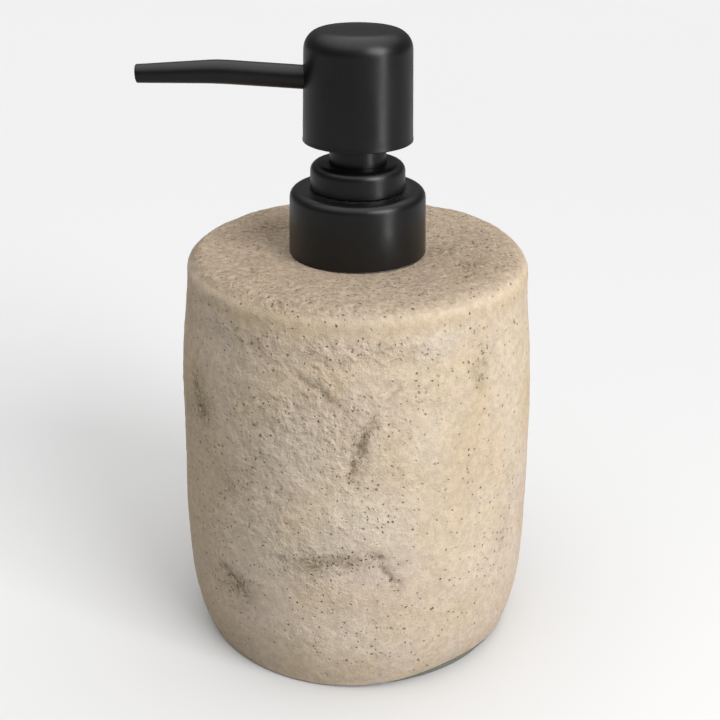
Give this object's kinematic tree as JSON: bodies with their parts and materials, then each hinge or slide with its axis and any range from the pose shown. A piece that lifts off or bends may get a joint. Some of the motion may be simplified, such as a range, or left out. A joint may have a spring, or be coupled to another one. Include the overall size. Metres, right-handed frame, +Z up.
{
  "type": "soap pump dispenser",
  "caption": "Cast-stone soap dispenser with a press-down lotion pump, swivelling spout and screw-off collar.",
  "frame": {"origin": "the middle of the vessel's foot on the pump's axis, on the underside of the foam base pad", "axes": "+Z up along the pump's axis, -X along the spout, +Y away from a viewer who has the spout on the left"},
  "size_m": [0.0978, 0.091, 0.1576],
  "materials": {
    "stone": "matt cast stone, pitted",
    "foam": "matt closed-cell foam",
    "black_plastic": "satin black moulding",
    "inner_black_plastic": "matt black moulding",
    "insert_plastic": "matt off-white moulding",
    "natural_plastic": "natural translucent moulding",
    "tube_plastic": "smooth natural tubing",
    "seal_rubber": "soft matt seal",
    "spring_steel": "drawn wire, bright"
  },
  "bodies": {
    "vessel": {"stone_body": "stone", "base_pad": "foam", "neck_insert": "insert_plastic"},
    "pump": {"pump_housing": "natural_plastic", "closure_gasket": "seal_rubber", "retainer_ring": "black_plastic", "stem_wiper": "seal_rubber", "spring_seat": "natural_plastic", "return_spring": "spring_steel", "dip_tube": "tube_plastic"},
    "closure": {"collar_shell": "black_plastic", "collar_cap": "inner_black_plastic"},
    "plunger": {"outer_stem": "natural_plastic", "poppet_rod": "natural_plastic"},
    "piston_slider": {"piston": "seal_rubber"},
    "valve": {"inlet_ball": "spring_steel"},
    "head": {"head_shell": "black_plastic", "head_core": "inner_black_plastic", "neck_sleeve": "black_plastic", "spout": "black_plastic"}
  },
  "joints": [
    {"name": "collar_turn", "type": "hinge", "parent": "pump", "child": "closure", "pos_m": [0, 0, 0.1032], "axis": [0, 0, 1], "range_deg": [0, 450]},
    {"name": "pump_rise", "type": "slide", "parent": "vessel", "child": "pump", "axis": [0, 0, 1], "range_m": [0, 0.00529]},
    {"name": "pump_press", "type": "slide", "parent": "pump", "child": "plunger", "axis": [0, 0, -1], "range_m": [0, 0.0105], "stiffness_N_per_m": 700, "springref_m": -0.006, "deforming": ["return_spring"]},
    {"name": "head_swivel", "type": "hinge", "parent": "plunger", "child": "head", "pos_m": [0, 0, 0.131], "axis": [0, 0, 1], "continuous": true},
    {"name": "piston_slip", "type": "slide", "parent": "plunger", "child": "piston_slider", "axis": [0, 0, 1], "range_m": [0, 0.001]},
    {"name": "ball_lift", "type": "slide", "parent": "pump", "child": "valve", "axis": [0, 0, 1], "range_m": [0, 0.0012]}
  ],
  "couplings": [
    {"joint": "collar_turn", "follows": "pump_rise", "rad_per_m": 1484.3}
  ]
}
